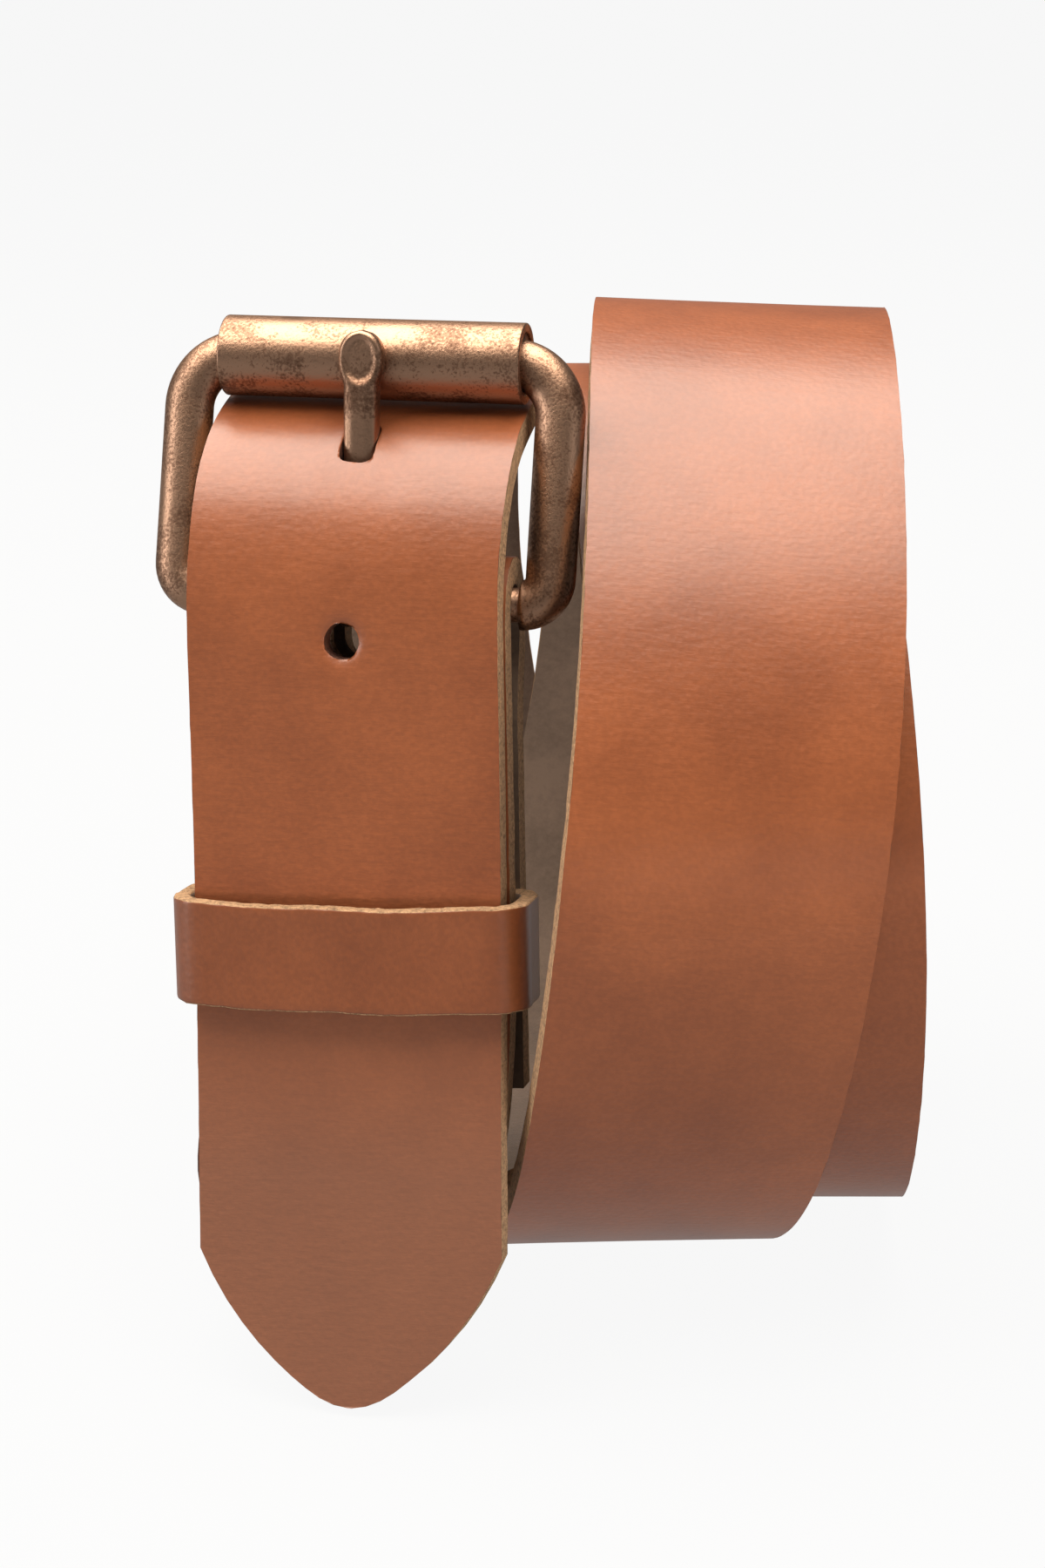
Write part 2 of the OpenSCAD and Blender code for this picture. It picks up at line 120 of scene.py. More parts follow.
class BeltBuckleSettings(bpy.types.PropertyGroup):
    """Sizes of the buckle, keeper and rivets."""

    room: millimetres("Room", "Room inside the frame beside the strap, both sides together", 2.6)
    bar: millimetres("Bar width", "Width of the frame's bar", 6.4)
    bar_thick: millimetres("Bar thickness", "Thickness of the frame's bar", 5.2)
    reach: millimetres("Reach", "Distance between the heel bar and the roller", 30.5)
    corner: millimetres("Corner", "Outer radius of the corners beside the roller", 10.0)
    heel_corner: millimetres("Heel corner", "Inner radius of the corners beside the heel bar", 0.3)
    heel: millimetres("Heel bar", "Diameter of the heel bar", 4.4)
    tilt: degrees("Frame tilt", "Inward lean of the frame", 10.0)
    roller: millimetres("Roller", "Outer diameter of the roller", 10.3)
    wall: millimetres("Roller wall", "Thickness of the roller's sheet", 1.2)
    prong_w: millimetres("Prong width", "Width of the prong's shaft", 4.4)
    prong_t: millimetres("Prong thickness", "Thickness of the prong's shaft", 3.6)
    paddle_w: millimetres("Paddle width", "Width of the prong's flattened tip", 5.7)
    paddle_l: millimetres("Paddle length", "Length of the prong's flattened tip", 7.0)
    keeper_w: millimetres("Keeper width", "Width of the keeper's strip", 13.5)
    keeper_t: millimetres("Keeper thickness", "Thickness of the keeper's leather", 2.2)
    keeper_slack: millimetres("Keeper slack", "Slack in front of the tip end", 0.9)
    keeper_room: millimetres("Keeper room", "Room beside the strap, both sides together", 2.2)
    keeper_drop: millimetres("Keeper drop", "Distance of the keeper below the heel bar", 44.0)
    cap_h: millimetres("Cap height", "Height of a rivet cap", 0.8)


class BeltLookSettings(bpy.types.PropertyGroup):
    """Colours of the leather and the metal."""

    grain_light: colour_setting("Grain light", "Paler tone of the waxed grain", "#9C562F")
    grain_dark: colour_setting("Grain dark", "Deeper tone of the waxed grain", "#7C4123")
    # The tip end's tone is painted shade and painted sheen, not the leather's own colour
    tip_shade_sheen: colour_setting("Tip end", "Tone of the tip end, where handling has taken the wax", "#7A5543")
    flesh: colour_setting("Flesh", "Inner, suede side of the leather", "#76604F")
    cut_edge: colour_setting("Cut edge", "Raw cut edge of the leather", "#B08A66")
    # The hole walls' tone is painted shade, the darkness inside a narrow hole
    hole_wall_shade: colour_setting("Hole wall", "Wall of a punched hole", "#5A3424")
    copper_light: colour_setting("Copper light", "Rubbed copper plating", "#B58E74")
    copper_dark: colour_setting("Copper dark", "Antiqued recesses of the plating", "#664A3A")
    steel: colour_setting("Steel", "Drawn steel wire of the staples", "#B9BBBD")


# ---- Frames of the buckle end ----
def ply_turn():
    """Turn from the plies' frame to the belt's frame."""
    coil = bpy.context.scene.belt_coil
    lean, yaw, roll = (math.radians(-angle) for angle in (coil.lean, coil.yaw, coil.ply_roll))
    return Matrix.Rotation(lean, 3, "X") @ Matrix.Rotation(yaw, 3, "Z") @ Matrix.Rotation(roll, 3, "Y")


def buckle_turn():
    """Turn from the buckle's frame to the belt's frame."""
    return ply_turn() @ Matrix.Rotation(math.radians(bpy.context.scene.belt_coil.buckle_roll), 3, "Y")


def placed(turn):
    """A 4x4 in metres that puts millimetres drawn about the heel bar in place."""
    return Matrix.Scale(MM, 4) @ Matrix.Translation(HEEL) @ turn.to_4x4()


def frame_matrix():
    """Place of the buckle's frame and roller, drawn with the frame up z."""
    tilt = math.radians(-bpy.context.scene.belt_buckle.tilt)
    return placed(buckle_turn()) @ Matrix.Rotation(tilt, 4, "X")


# ---- Route of the strap ----
class Route:
    """The strap's middle line: a cubic B-spline shaped by listed rows, looked up by length."""

    def __init__(self):
        scene = bpy.context.scene
        strap, coil, buckle = scene.belt_strap, scene.belt_coil, scene.belt_buckle
        half_t, heel_r = strap.thickness / 2, buckle.heel / 2
        # Air round the heel bar, in front of the rivets' heads, beside the keeper and under the tip
        wrap, head_gap, keeper_gap, tip_gap = 0.15, 0.3, 0.7, 0.3
        lean = math.radians(coil.lean)
        plies, bent = ply_turn(), buckle_turn()
        plies_gap = buckle.keeper_t + keeper_gap
        self.front_y = -(heel_r + wrap + strap.thickness + buckle.cap_h + head_gap + half_t)
        self.inner_y = -(heel_r + wrap + half_t)
        self.fold_y = self.inner_y + strap.thickness + plies_gap
        front, inner, fold = self.front_y, self.inner_y, self.fold_y
        bow = coil.tip_bow
        tip_z = tip_gap + half_t * math.sin(lean) - HEEL.z + (front - bow) * math.sin(lean)
        tip_z /= math.cos(lean)

        def ply(x, y, z):
            return HEEL + plies @ Vector((x, y, z)), plies @ Vector((1, 0, 0))

        def bend(x, y, z):
            return HEEL + bent @ Vector((x, y, z)), bent @ Vector((1, 0, 0))

        roller_r = buckle.roller / 2
        tilt = math.radians(buckle.tilt)
        roller_y, roller_z = buckle.reach * math.sin(tilt), buckle.reach * math.cos(tilt)
        # The strap clears the roller; the prong's thinned tip rests just clear of it and reaches past it
        roller_gap, prong_gap, thinned, past_roller = 0.65, 0.35, 0.6, 3.8
        under = roller_r + half_t + roller_gap
        rest = roller_r + prong_gap + buckle.prong_t / 2 - thinned
        self.prong_lean = math.asin(rest / buckle.reach) - tilt
        self.prong_l = roller_z + past_roller
        tail = [
            ply(0, front - bow * 1.9, tip_z - 25),
            ply(0, front - bow, tip_z),
            ply(-0.5, front - bow * 0.3, tip_z + 25),
            ply(-0.4, front, tip_z + 50),
            ply(0, front, tip_z + 75),
            ply(0, front, -9),
            ply(0, front, 2),
            bend(0, front + 2, 12),
            bend(0, -0.5, 20),
            bend(0, roller_y + under * 0.6, roller_z - under * 0.8),
            bend(0, 20, 27),
        ]
        arc = (heel_r + wrap + half_t) * 1.3
        c30, s30 = math.cos(math.radians(30)), math.sin(math.radians(30))
        folded = [
            (ply(-6, inner + 8, -81.4)[0], Vector((1, 0, 0))),
            ply(-1.6, inner + 0.8, -68.5),
            ply(0, inner, -54),
            ply(0, inner, -36),
            ply(0, inner, -16),
            ply(0, inner, -6),
            bend(0, -arc * c30, arc * s30),
            bend(0, 0, arc),
            bend(0, arc * c30, arc * s30),
            ply(0, 1.15 * (heel_r + wrap + half_t), -6),
            ply(0, fold + 0.2, -12),
        ] + [ply(0, fold, z) for z in (-18, -28, -40, -52, -64, -76)]
        rows = tail + self.turns(strap, coil, half_t) + folded
        self.table = self.measured(rows)
        self.length = self.table[-1][0]

    def turns(self, strap, coil, half_t):
        """Rows of the three turns: an oval with a side step, an inward step and a twist at each eighth."""
        shift = Vector((-0.1125 * strap.width, 0.0272 * coil.depth, 0.35))
        oval = [(-0.56, 0.35), (-0.49, 0.76), (-0.11, 1.07), (0.32, 0.95)]
        oval += [(0.54, 0.59), (0.45, 0.2), (0.12, -0.012), (-0.29, -0.012)]
        sides = [-0.52, -0.56, -0.32, 0.08, 0.385, 0.53, 0.68, 0.7, 0.8, 0.92, 0.94]
        sides += [0.88, 0.81, 0.78, 0.7, 0.62, 0.6, 0.6, 0.42, 0.02, -0.5]
        layers = [0] * 9 + [0.2, 0.7, 1.05, 1.4, 2, 2.2, 2, 1.8, 1.9, 2.1, 2.6, 3.8]
        twists = [0, 0, 0, 0, 0.5, 8, 6, 4] + [0] * 13
        step = (strap.thickness + coil.gap) * 1.1
        middle = []
        for i, (side, layer) in enumerate(zip(sides, layers)):
            y, z = oval[(3 + i) % len(oval)]
            p = Vector((y * (coil.depth - strap.thickness), half_t + z * (coil.height - strap.thickness)))
            inwards = (Vector((0, coil.height / 2)) - p).normalized()
            p += inwards * layer * step
            middle.append(shift + Vector((side * strap.width, p.x, p.y)))
        rows = []
        for i, point in enumerate(middle):
            j = max(1, min(i, len(middle) - 2))
            inwards = (middle[j + 1] - middle[j - 1]).normalized().cross(Vector((1, 0, 0)))
            turn = math.radians(twists[i])
            rows.append((point, math.cos(turn) * Vector((1, 0, 0)) + math.sin(turn) * inwards))
        return rows

    def measured(self, rows, steps=20):
        """Table of [length from the tip, middle, across, along, outwards] along the spline."""
        table, run, last = [], 0.0, None
        for k in range((len(rows) - 3) * steps + 1):
            i = min(k // steps, len(rows) - 4)
            u = k / steps - i
            b = [(1 - u) ** 3, 3 * u**3 - 6 * u * u + 4, -3 * u**3 + 3 * u * u + 3 * u + 1, u**3]
            d = [-((1 - u) ** 2), 3 * u * u - 4 * u, -3 * u * u + 2 * u + 1, u * u]
            point = sum((rows[i + j][0] * b[j] for j in range(4)), Vector()) / 6
            along = sum((rows[i + j][0] * d[j] for j in range(4)), Vector()).normalized()
            side = sum((rows[i + j][1] * b[j] for j in range(4)), Vector())
            side = (side - side.dot(along) * along).normalized()
            run += (point - last).length if last else 0.0
            last = point
            table.append((run, point, side, along, side.cross(along)))
        return table

    def at(self, run):
        """Middle, across, along and outwards at a length from the tip."""
        table = self.table
        low, high = 0, len(table) - 1
        while high - low > 1:
            mid = (low + high) // 2
            low, high = (mid, high) if table[mid][0] <= run else (low, mid)
        a, b = table[low], table[high]
        share = (run - a[0]) / (b[0] - a[0])
        return [a[k].lerp(b[k], share) for k in range(1, 5)]

    def place(self, flat):
        """Puts a point of the flat strap (across, along, out) on the route."""
        middle, side, _, out = self.at(flat.y)
        return (middle + side.normalized() * flat.x + out.normalized() * flat.z) * MM

    def prong_course(self):
        """Where the prong passes through the strap: length from the tip, heading along and out."""
        turn = buckle_turn()
        heading = turn @ Vector((0, -math.sin(self.prong_lean), math.cos(self.prong_lean)))
        run = self.prong_run()
        _, _, along, out = self.at(run)
        return run, heading.dot(along), heading.dot(out)

    def prong_run(self):
        """Length from the tip at which the prong's line meets the strap."""
        turn = buckle_turn()
        side = turn @ Vector((0, math.cos(self.prong_lean), math.sin(self.prong_lean)))
        inside = [row[0] for row in self.table if 100 < row[0] < 150 and (row[1] - HEEL).dot(side) < 0]
        return max(inside)

    def ply_run(self, y, z):
        """Length from the tip of the place nearest a point of the plies, on the folded end's side."""
        target = HEEL + ply_turn() @ Vector((0, y, z))
        late = [row for row in self.table if row[0] > self.length * 0.85]
        return min(late, key=lambda row: (row[1] - target).length)[0]


# ---- Mesh helpers ----
def finished(name, bm, materials):
    """Makes the object of a bmesh, smooth shaded, with its materials."""
    mesh = bpy.data.meshes.new(name)
    bm.to_mesh(mesh)
    bm.free()
    for polygon in mesh.polygons:
        polygon.use_smooth = True
    for material in materials:
        mesh.materials.append(material)
    piece = bpy.data.objects.new(name, mesh)
    bpy.context.scene.collection.objects.link(piece)
    return piece


def soften(piece):
    """Weights the normals by face size, so that a rounded edge stays narrow."""
    modifier = piece.modifiers.new("Weighted normals", "WEIGHTED_NORMAL")
    modifier.weight = 60
    modifier.keep_sharp = True


def verts_of(geometry):
    """The vertices among what a bmesh operator made."""
    return [g for g in geometry if isinstance(g, bmesh.types.BMVert)]


def edges_between(geometry, verts):
    """The edges among what a bmesh operator made that join two of the given vertices."""
    return [g for g in geometry if isinstance(g, bmesh.types.BMEdge) and all(v in verts for v in g.verts)]


def give_wall(bm, thickness, rounding):
    """Gives a sheet its thickness and rounds the edges of its cut sides."""
    sharp = math.radians(60)
    bmesh.ops.solidify(bm, geom=bm.faces[:], thickness=thickness)
    bmesh.ops.recalc_face_normals(bm, faces=bm.faces)
    bmesh.ops.bevel(
        bm,
        geom=[e for e in bm.edges if len(e.link_faces) == 2 and e.calc_face_angle(0.0) > sharp],
        offset=rounding,
        offset_type="OFFSET",
        segments=3,
        profile=0.5,
        affect="EDGES",
        material=-1,
        clamp_overlap=True,
    )


def punch(bm, run, radius, stretch, squareness=2.0):
    """Cuts a round, long or squarish hole in the flat sheet, with rings of faces round it."""
    border, rings = 3.6, (1.8, 1.35, 1.12, 1.0)
    reach = radius + border
    cells = {
        f
        for f in bm.faces
        if abs(f.calc_center_median().x) < reach and abs(f.calc_center_median().y - run) < reach + stretch / 2
    }
    rim = list({e for f in cells for e in f.edges if any(g not in cells for g in e.link_faces)})
    bmesh.ops.delete(bm, geom=list(cells), context="FACES")
    for scale in rings:
        grown = bmesh.ops.extrude_edge_only(bm, edges=rim)["geom"]
        ring = verts_of(grown)
        for v in ring:
            spine = Vector((0, run + max(-stretch / 2, min(stretch / 2, v.co.y - run)), 0))
            away = v.co - spine
            bulk = (abs(away.x) ** squareness + abs(away.y) ** squareness) ** (1 / squareness)
            v.co = spine + away * (radius * scale / bulk)
        rim = edges_between(grown, ring)


def leather_sheet(length, width, cell):
    """A flat grid of leather: x across, y from 0 to its length."""
    bm = bmesh.new()
    across, along = max(2, round(width / cell)), round(length / cell)
    bmesh.ops.create_grid(bm, x_segments=across, y_segments=along, size=0.5)
    spread = Matrix.Translation((0, length / 2, 0)) @ Matrix.Diagonal((width, length, 1, 1))
    bmesh.ops.transform(bm, matrix=spread, verts=bm.verts)
    return bm


def thicken(bm, thickness, rounding, rough):
    """Thickens a sheet, rounds and roughens its cut edges, and sorts grain, flesh and cut faces."""
    grain_up, flesh_down = 0.72, -0.8
    bmesh.ops.translate(bm, vec=(0, 0, thickness / 2), verts=bm.verts)
    bmesh.ops.recalc_face_normals(bm, faces=bm.faces)
    if sum(f.normal.z for f in bm.faces) < 0:
        bmesh.ops.reverse_faces(bm, faces=bm.faces)
    give_wall(bm, thickness, rounding)
    bm.normal_update()
    cut = set()
    for f in bm.faces:
        up = f.normal.z
        f.material_index = 0 if up > grain_up else 1 if up < flesh_down else 2
        if f.material_index == 2:
            cut.update(f.verts)
    noise.seed_set(EDGE_SEED)
    for v in cut:
        v.co += noise.noise_vector(v.co * 0.9) * rough


def keep_flat_place(bm, start=0.0):
    """Stores each point's place on the flat leather, in metres, so that the grain follows the strap."""
    layer = bm.verts.layers.float_vector.new("flat")
    for v in bm.verts:
        v[layer] = (v.co + Vector((0, start, 0))) * MM


# ---- Materials ----
def tone(value):
    """An sRGB hex value as a linear colour."""
    parts = [int(value[i : i + 2], 16) / 255 for i in (1, 3, 5)]
    return [c / 12.92 if c <= 0.04045 else ((c + 0.055) / 1.055) ** 2.4 for c in parts] + [1.0]


def shaded(colour, factor):
    """A linear colour made darker or lighter."""
    return [min(1.0, c * factor) for c in colour[:3]] + [1.0]


def wire(tree, node, **links):
    """Gives inputs, by name or as i and a number, a value or a link; a link is an output socket."""
    for key, value in links.items():
        numbered = key[0] == "i" and key[1:].isdigit()
        socket = node.inputs[int(key[1:]) if numbered else key.replace("_", " ")]
        if isinstance(value, bpy.types.NodeSocket):
            tree.links.new(value, socket)
        else:
            socket.default_value = value


def add_node(tree, kind, settings=None, **links):
    """Adds a node with its settings, input values and links."""
    node = tree.nodes.new(kind)
    for key, value in (settings or {}).items():
        setattr(node, key, value)
    wire(tree, node, **links)
    return node


def flat_place(tree):
    """The place on the flat leather, which the leather's patterns follow."""
    return add_node(tree, "ShaderNodeAttribute", {"attribute_name": "flat"}).outputs["Vector"]


def new_material(name):
    """An empty material with a Principled shader; returns material, tree, shader."""
    material = bpy.data.materials.new(name)
    material.use_nodes = True
    tree = material.node_tree
    return material, tree, tree.nodes["Principled BSDF"]


def set_ramp(node, stops):
    """Sets the stops of a colour ramp from (position, colour) pairs."""
    ramp = node.color_ramp
    while len(ramp.elements) < len(stops):
        ramp.elements.new(0.5)
    for element, (position, colour) in zip(ramp.elements, stops):
        element.position = position
        element.color = colour


def waxed_grain(name):
    """Vegetable-tanned full-grain leather, waxed and plated: pores and creases under satin wax."""
    look = bpy.context.scene.belt_look
    material, tree, shader = new_material(name)
    place = flat_place(tree)
    # Clouds of dye, 30 mm across, with finer streaks 5 mm across
    clouds = add_node(tree, "ShaderNodeTexNoise", Vector=place, Scale=34.0, Detail=3.0, Roughness=0.6)
    streaks = add_node(tree, "ShaderNodeTexNoise", Vector=place, Scale=210.0, Detail=4.0, Roughness=0.65)
    dye = add_node(
        tree, "ShaderNodeMath", MULTIPLY_ADD, i0=streaks.outputs["Fac"], i1=0.2, i2=clouds.outputs["Fac"]
    )
    shade = add_node(tree, "ShaderNodeValToRGB", Fac=dye.outputs[0])
    set_ramp(shade, [(0.3, tone(look.grain_dark)), (0.85, tone(look.grain_light))])
    # Specks of follicles, two thirds of a millimetre across
    specks = add_node(tree, "ShaderNodeTexNoise", Vector=place, Scale=1500.0, Detail=2.0, Roughness=0.5)
    specks = specks.outputs["Fac"]
    share = add_node(tree, "ShaderNodeMapRange", CLAMPED, Value=specks, i1=0.42, i2=0.62, i3=0.93, i4=1.03)
    share = share.outputs["Result"]
    colour = add_node(tree, "ShaderNodeVectorMath", SCALED, i0=shade.outputs["Color"], Scale=share)
    # The keeper is painted darker than the strap, at 78 percent of its tone
    run = add_node(tree, "ShaderNodeSeparateXYZ", Vector=place).outputs["Y"]
    past, keeper_share = KEEPER_START * MM - 0.1, 0.78
    keeper_darkening = add_node(
        tree, "ShaderNodeMapRange", CLAMPED, Value=run, i1=past, i2=past + 0.01, i3=1.0, i4=keeper_share
    )
    keeper_darkening = keeper_darkening.outputs["Result"]
    colour = add_node(tree, "ShaderNodeVectorMath", SCALED, i0=colour.outputs["Vector"], Scale=keeper_darkening)
    # The last 60 mm at the tip are painted duller and greyer: painted shade under the keeper and a painted
    # sheen from the floor
    painted_tip_shade = add_node(tree, "ShaderNodeMapRange", CLAMPED, Value=run, i1=0.03, i2=0.062, i3=0.62, i4=0.0)
    toned = add_node(
        tree,
        "ShaderNodeMix",
        {"data_type": "RGBA"},
        i0=painted_tip_shade.outputs["Result"],
        i6=colour.outputs["Vector"],
        i7=tone(look.tip_shade_sheen),
    )
    # Pebbled grain, cells of 0.8 mm, over creases that run across the strap
    cells = add_node(
        tree, "ShaderNodeTexVoronoi", {"feature": "SMOOTH_F1"}, Vector=place, Scale=1250.0, Smoothness=0.6
    )
    cells = cells.outputs["Distance"]
    drawn = add_node(tree, "ShaderNodeMapping", Vector=place, Scale=(0.35, 1.6, 1.0)).outputs[0]
    creases = add_node(tree, "ShaderNodeTexNoise", Vector=drawn, Scale=850.0, Detail=4.0, Roughness=0.6)
    creases = creases.outputs["Fac"]
    relief = add_node(tree, "ShaderNodeMath", MULTIPLY_ADD, i0=creases, i1=1.6, i2=cells).outputs[0]
    bump = add_node(tree, "ShaderNodeBump", Strength=0.34, Distance=0.00014, Height=relief).outputs[0]
    # The hide is a little uneven, on the scale of the clouds of dye
    hills = clouds.outputs["Fac"]
    waves = add_node(tree, "ShaderNodeBump", Strength=0.06, Distance=0.0012, Height=hills, Normal=bump)
    rubbed = streaks.outputs["Fac"]
    gloss = add_node(tree, "ShaderNodeMapRange", CLAMPED, Value=rubbed, i1=0.3, i2=0.7, i3=0.4, i4=0.45)
    wire(tree, shader, Base_Color=toned.outputs[2], Normal=waves.outputs[0])
    wire(tree, shader, Roughness=gloss.outputs["Result"], IOR=1.42, Coat_Weight=0.75, Coat_Roughness=0.31)
    return material


def flesh_side(name):
    """Flesh side of the hide, split and brushed: a matt nap of short fibres."""
    look = bpy.context.scene.belt_look
    material, tree, shader = new_material(name)
    place = flat_place(tree)
    nap = add_node(tree, "ShaderNodeTexNoise", Vector=place, Scale=900.0, Detail=6.0, Roughness=0.7)
    patch = add_node(tree, "ShaderNodeTexNoise", Vector=place, Scale=60.0, Detail=3.0)
    mixed = add_node(
        tree, "ShaderNodeMath", MULTIPLY_ADD, i0=nap.outputs["Fac"], i1=0.7, i2=patch.outputs["Fac"]
    )
    shade = add_node(tree, "ShaderNodeValToRGB", Fac=mixed.outputs[0])
    base = tone(look.flesh)
    set_ramp(shade, [(0.55, shaded(base, 0.72)), (1.05, shaded(base, 1.25))])
    bump = add_node(tree, "ShaderNodeBump", Strength=0.6, Distance=0.0003, Height=nap.outputs["Fac"])
    wire(tree, shader, Base_Color=shade.outputs["Color"], Normal=bump.outputs[0], Roughness=0.93)
    wire(tree, shader, Sheen_Weight=0.25, Sheen_Roughness=0.5)
    return material


def cut_fibres(name):
    """Raw cut edge of the hide: pale, matt fibres with the dye only at the surface."""
    return fibrous(name, bpy.context.scene.belt_look.cut_edge)


def shaded_hole_wall(name):
    """Wall of a punched hole, painted dark: painted shade of the hole's inside."""
    return fibrous(name, bpy.context.scene.belt_look.hole_wall_shade)


def fibrous(name, colour):
    """Cut leather of one colour, in clumps of fibres."""
    material, tree, shader = new_material(name)
    place = flat_place(tree)
    fibres = add_node(tree, "ShaderNodeTexNoise", Vector=place, Scale=2200.0, Detail=5.0, Roughness=0.75)
    clumps = add_node(tree, "ShaderNodeTexNoise", Vector=place, Scale=1100.0, Detail=3.0)
    mixed = add_node(
        tree, "ShaderNodeMath", MULTIPLY_ADD, i0=clumps.outputs["Fac"], i1=0.6, i2=fibres.outputs["Fac"]
    )
    base = tone(colour)
    shade = add_node(tree, "ShaderNodeValToRGB", Fac=mixed.outputs[0])
    set_ramp(shade, [(0.56, shaded(base, 0.5)), (0.76, base), (0.98, shaded(base, 1.45))])
    bump = add_node(tree, "ShaderNodeBump", Strength=0.9, Distance=0.0004, Height=mixed.outputs[0])
    wire(tree, shader, Base_Color=shade.outputs["Color"], Normal=bump.outputs[0], Roughness=0.9)
    return material


def antique_copper(name):
    """Antiqued copper plating on cast zinc: tumbled, dark in its pits and rubbed bright elsewhere."""
    look = bpy.context.scene.belt_look
    material, tree, shader = new_material(name)
    place = add_node(tree, "ShaderNodeTexCoord").outputs["Object"]
    patina = add_node(tree, "ShaderNodeTexNoise", Vector=place, Scale=200.0, Detail=3.0, Roughness=0.5)
    pits = add_node(tree, "ShaderNodeTexNoise", Vector=place, Scale=2600.0, Detail=3.0, Roughness=0.6)
    mixed = add_node(
        tree, "ShaderNodeMath", MULTIPLY_ADD, i0=pits.outputs["Fac"], i1=1.0, i2=patina.outputs["Fac"]
    )
    light, dark = tone(look.copper_light), tone(look.copper_dark)
    middle = [(a + b) / 2 for a, b in zip(light, dark)]
    shade = add_node(tree, "ShaderNodeValToRGB", Fac=mixed.outputs[0])
    set_ramp(shade, [(0.66, dark), (0.92, middle), (1.22, light)])
    bump = add_node(tree, "ShaderNodeBump", Strength=0.3, Distance=0.00015, Height=mixed.outputs[0])
    gloss = add_node(
        tree, "ShaderNodeMapRange", CLAMPED, Value=mixed.outputs[0], i1=0.72, i2=1.25, i3=0.5, i4=0.32
    )
    wire(tree, shader, Base_Color=shade.outputs["Color"], Normal=bump.outputs[0], Metallic=1.0)
    wire(tree, shader, Roughness=gloss.outputs["Result"])
    return material


def drawn_steel(name):
    """Drawn steel staple wire: fine lines along the wire and a dull zinc bloom."""
    look = bpy.context.scene.belt_look
    material, tree, shader = new_material(name)
    place = add_node(tree, "ShaderNodeTexCoord").outputs["Object"]
    lines = add_node(tree, "ShaderNodeTexNoise", Vector=place, Scale=2600.0, Detail=3.0)
    shade = add_node(tree, "ShaderNodeValToRGB", Fac=lines.outputs["Fac"])
    base = tone(look.steel)
    set_ramp(shade, [(0.3, shaded(base, 0.6)), (0.7, base)])
    bump = add_node(tree, "ShaderNodeBump", Strength=0.2, Distance=0.00005, Height=lines.outputs["Fac"])
    wire(tree, shader, Base_Color=shade.outputs["Color"], Normal=bump.outputs[0])
    wire(tree, shader, Metallic=1.0, Roughness=0.36)
    return material


def made(maker, name):
    """A material by name, made once."""
    return bpy.data.materials.get(name) or maker(name)


def copper():
    """Plating of the buckle and the rivets."""
    return made(antique_copper, "Antique copper plating")


def leather_set():
    """Grain, flesh, cut-edge and hole materials, in the order of the sheet's face groups."""
    return [
        made(waxed_grain, "Waxed full-grain leather"),
        made(flesh_side, "Brushed flesh side"),
        made(cut_fibres, "Raw cut leather edge"),
        made(shaded_hole_wall, "Hole wall painted shade"),
    ]


